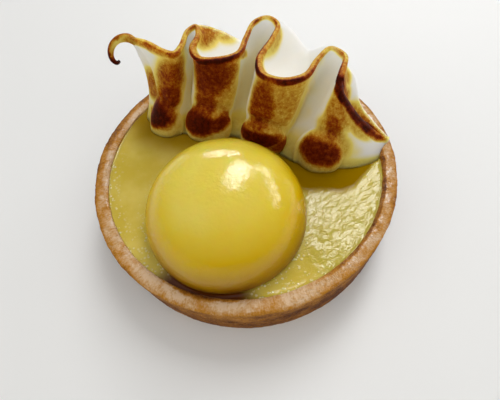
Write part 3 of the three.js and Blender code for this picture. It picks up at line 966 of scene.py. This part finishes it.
def torched(patches, spread):
    """How dark each point is burnt: the most of the patches' strengths, each fading smoothly over
    the rim of a leaning ellipse whose outline wanders by noise."""
    most = np.zeros(ruffle.shape[:2])
    for middle, level, half_width, half_height, lean, strength in patches:
        up = share - level
        away = np.hypot((row - middle - lean * up) / half_width, up / half_height)
        most = np.maximum(most, strength * smoothstep(MARK_REACH - away + wander, 0, spread))
    return most


wander = WANDER * relief(ruffle, 5.0, 111)
scorch = np.maximum(
    torched(TORCHED_FRONT, FRONT_SPREAD) * on_front, torched(TORCHED_BOWLS, BOWL_SPREAD) * on_bowl
)
# the lip: darkest at its front corner, paler over its top, narrower in the loops and flickering
lip_rows, *lip_burns = np.transpose(TORCHED_LIP)
at_corner, at_top, lip_width = (np.interp(row, lip_rows, burn) for burn in lip_burns)
lip_width = lip_width * (1 - NARROW_LOOPS * looped)
front_side = np.where(on_lip, smoothstep(share, 0.46, 0.7), on_front)
corner = at_corner * (1 - smoothstep(reach + wander, 0.75 * lip_width, 1.3 * lip_width))
top = at_top * (1 - smoothstep(reach + 2 * wander, 0.8 * lip_width, 2.0 * lip_width))
flicker = 1 + FLICKER * relief(ruffle, 2.2, 115)
scorch = np.maximum(scorch, np.maximum(top, corner * front_side) * flicker)
# painted light: the foot is tinted cream for the yellow light thrown up from the curd, and the
# sheltered grooves on the left for their warm shade
foot_bounce_tint = FOOT_BOUNCE_TINT * (1 - smoothstep(share, 0.08, 0.36))
groove_shade_tint = (1 - smoothstep(row, 15, 18)) * (1 - smoothstep(share, 0.3, 1.0))
scorch = np.maximum(scorch, on_front * np.maximum(foot_bounce_tint, GROOVE_SHADE_TINT * groove_shade_tint))

# the ribbon's two ends are closed by strips between its back and its front
around = ruffle.shape[1]
near = np.arange(around // 2)
end_cap = np.stack([near, near + 1, around - 2 - near, around - 1 - near], axis=1)
last_row = (len(rows) - 1) * around
ribbon_faces = [ring_faces(len(rows), around), end_cap[:, ::-1], end_cap + last_row]
meringue = make_piece("meringue_ribbon", ruffle, np.vstack(ribbon_faces), scorch=scorch)

# the tail: a thin tube that the tip drew out as it was lifted, curled over, burnt black at its end
tail_rows = np.linspace(0, len(TAIL) - 1, TAIL_ROWS)
tail_line = smooth_curve(TAIL, tail_rows)
tail_along = np.gradient(tail_line[:, :3], axis=0)
tail_side = np.cross(tail_along, [0, 1, 0])
tail_side /= np.linalg.norm(tail_side, axis=1, keepdims=True)
tail_up = np.cross(tail_side, tail_along)
tail_up /= np.linalg.norm(tail_up, axis=1, keepdims=True)
angle = np.linspace(0, 2 * np.pi, TAIL_COLUMNS, endpoint=False)[None, :, None]
spokes = tail_side[:, None] * np.cos(angle) + tail_up[:, None] * np.sin(angle)
tail = tail_line[:, None, :3] + tail_line[:, None, 3:] * spokes
tail_bend = np.gradient(tail_along / np.linalg.norm(tail_along, axis=1, keepdims=True), axis=0)
tail_bend /= np.linalg.norm(tail_bend, axis=1, keepdims=True)
outer_side = smoothstep(-dot(spokes, tail_bend[:, None])[..., 0], -0.3, 0.9)
# burnt more and more towards its tip, and on the outside of its curl
tail_share = (tail_rows / tail_rows[-1])[:, None]
outer_side = 0.6 + (outer_side - 0.6) * smoothstep(tail_share, 0.05, 0.3)
tail_scorch = 0.14 + 0.95 * smoothstep(tail_share, 0.3, 0.95) + 0.45 * outer_side
tail_ends = [np.repeat(tail_line[k, None, None, :3], TAIL_COLUMNS, axis=1) for k in (0, -1)]
tail = np.concatenate([tail_ends[0], tail, tail_ends[1]])
tail_scorch = np.concatenate([tail_scorch[:1], tail_scorch, tail_scorch[-1:]])
meringue_tail = make_piece("meringue_tail", tail, ring_faces(*tail.shape[:2]), scorch=tail_scorch)


def torch_finish(piece, name, depth):
    """Meringue coloured by how much it is burnt and by the painted cream tint of its foot and
    grooves, in fine mottles; light goes a depth in metres into it."""
    material, start = new_finish(name)
    place = start.place()
    mottle = start.grain(place, 1.0, detail=5, roughness=0.65)
    fine = start.grain(place, 0.3, detail=3)
    # the burn, with the painted cream tint of the foot and grooves in it
    burn = start.value("scorch")
    burn = burn + ((mottle - 0.5) * 0.75 + (fine - 0.5) * 0.3) * burn.between(0.1, 0.45)
    apply_finish(
        piece,
        material,
        start,
        Base_Color=burn.ramp(*TORCH_COLOURS),
        Roughness=0.55,
        Specular_IOR_Level=0.06,
        Subsurface_Weight=1.0,
        Subsurface_Radius=(0.85 * depth, 0.92 * depth, depth),
        Subsurface_Scale=1.0,
        Normal=(mottle * 0.5 + fine * 0.5 * burn).raised(0.12),
    )
    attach(piece, "root")
    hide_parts("meringue_ruffle")


torch_finish(meringue, "torched_meringue", 6 * MM)
torch_finish(meringue_tail, "torched_tail", 0.6 * MM)

# ---- Floor, light and camera ----
# A plain pale floor and soft light from behind and to the right, with the camera in front of the
# tart, looking steeply down on it.

CAMERA_AT = (0.6, -58.05, 98.4)
CAMERA_PITCH = 60.35
CAMERA_ROLL = 7.55
SENSOR_WIDTH = 36.0
FOCAL_PIXELS = 375.0
PHOTO_WIDTH = 500.0
NEAREST_SEEN = 5.0
FLOOR_HALF = 1500.0
LIGHT_DISTANCE = 1500.0
# the window's azimuth and elevation in degrees, and its width and height in metres
WINDOW = (27, 50, 0.45, 1.0)
WARM = (1.0, 0.96, 0.85)
HORIZON_GLOW, ADDED_OVERHEAD = 0.12, 0.36

floor_corners = np.array([(-1, -1, 0), (1, -1, 0), (1, 1, 0), (-1, 1, 0)]) * FLOOR_HALF
floor = make_piece("floor", floor_corners, np.array([(0, 1, 2, 3)]))
material, start = new_finish("pale_floor")
apply_finish(floor, material, start, Base_Color=(0.86, 0.86, 0.85, 1), Roughness=0.7)


def soft_light(name, azimuth, elevation, width, height, power, colour=(1, 1, 1), **shown):
    """A flat light that looks at the tart from an azimuth, counted from +Y towards +X, and an
    elevation in degrees; its width and height are in metres, and shown says which rays see it."""
    lamp = bpy.data.lights.new(name, "AREA")
    lamp.shape = "RECTANGLE"
    lamp.size, lamp.size_y, lamp.energy, lamp.color = width, height, power, colour
    light = bpy.data.objects.new(name, lamp)
    a, e = np.radians(azimuth), np.radians(elevation)
    turn = Matrix.Rotation(-a, 4, "Z") @ Matrix.Rotation(e - np.pi / 2, 4, "X")
    light.matrix_world = turn @ Matrix.Translation((0, 0, LIGHT_DISTANCE * MM))
    for rays, seen in shown.items():
        setattr(light, rays, seen)
    bpy.context.scene.collection.objects.link(light)


# the tall window behind, the glitter of it in what is glossy, a row of windows to the right and far
# lamps that are only seen in gloss, and a side light, the ceiling and two walls that fill the shade
soft_light("window_behind", *WINDOW, 9.0)
soft_light("window_glitter", *WINDOW, 29.0, visible_diffuse=False)
soft_light("windows_beside", 62, 24, 1.25, 0.2, 9.0, visible_diffuse=False)
soft_light("far_lamps", 2, 18, 0.75, 0.08, 5.5, visible_diffuse=False)
soft_light("side_fill", 55, 18, 0.6, 0.6, 2.2, visible_glossy=False)
soft_light("ceiling", 180, 80, 2.0, 2.0, 5.0, visible_glossy=False)
soft_light("pale_wall", 130, 28, 1.2, 1.2, 3.5, WARM, visible_glossy=False)
soft_light("far_wall", -110, 25, 1.2, 1.2, 4.0, WARM, visible_glossy=False)

# the room is pale overhead and darker towards the horizon
world = bpy.data.worlds.new("studio")
world.use_nodes = True
world.node_tree.nodes.clear()
start = Wire(world.node_tree)
overhead = start.node("ShaderNodeTexCoord", output="Generated").upwards().between(0, 0.9)
strength = overhead * ADDED_OVERHEAD + HORIZON_GLOW
background = start.node("ShaderNodeBackground", (), {"Strength": strength})
start.node("ShaderNodeOutputWorld", (), {"Surface": background})
bpy.context.scene.world = world
bpy.context.scene.view_settings.view_transform = "Standard"

camera = bpy.data.objects.new("camera", bpy.data.cameras.new("camera"))
camera.data.sensor_width = SENSOR_WIDTH
camera.data.lens = SENSOR_WIDTH * FOCAL_PIXELS / PHOTO_WIDTH
camera.data.clip_start = NEAREST_SEEN * MM
camera.matrix_world = (
    Matrix.Translation([v * MM for v in CAMERA_AT])
    @ Matrix.Rotation(np.radians(90 - CAMERA_PITCH), 4, "X")
    @ Matrix.Rotation(np.radians(-CAMERA_ROLL), 4, "Z")
)
bpy.context.scene.collection.objects.link(camera)
bpy.context.scene.camera = camera
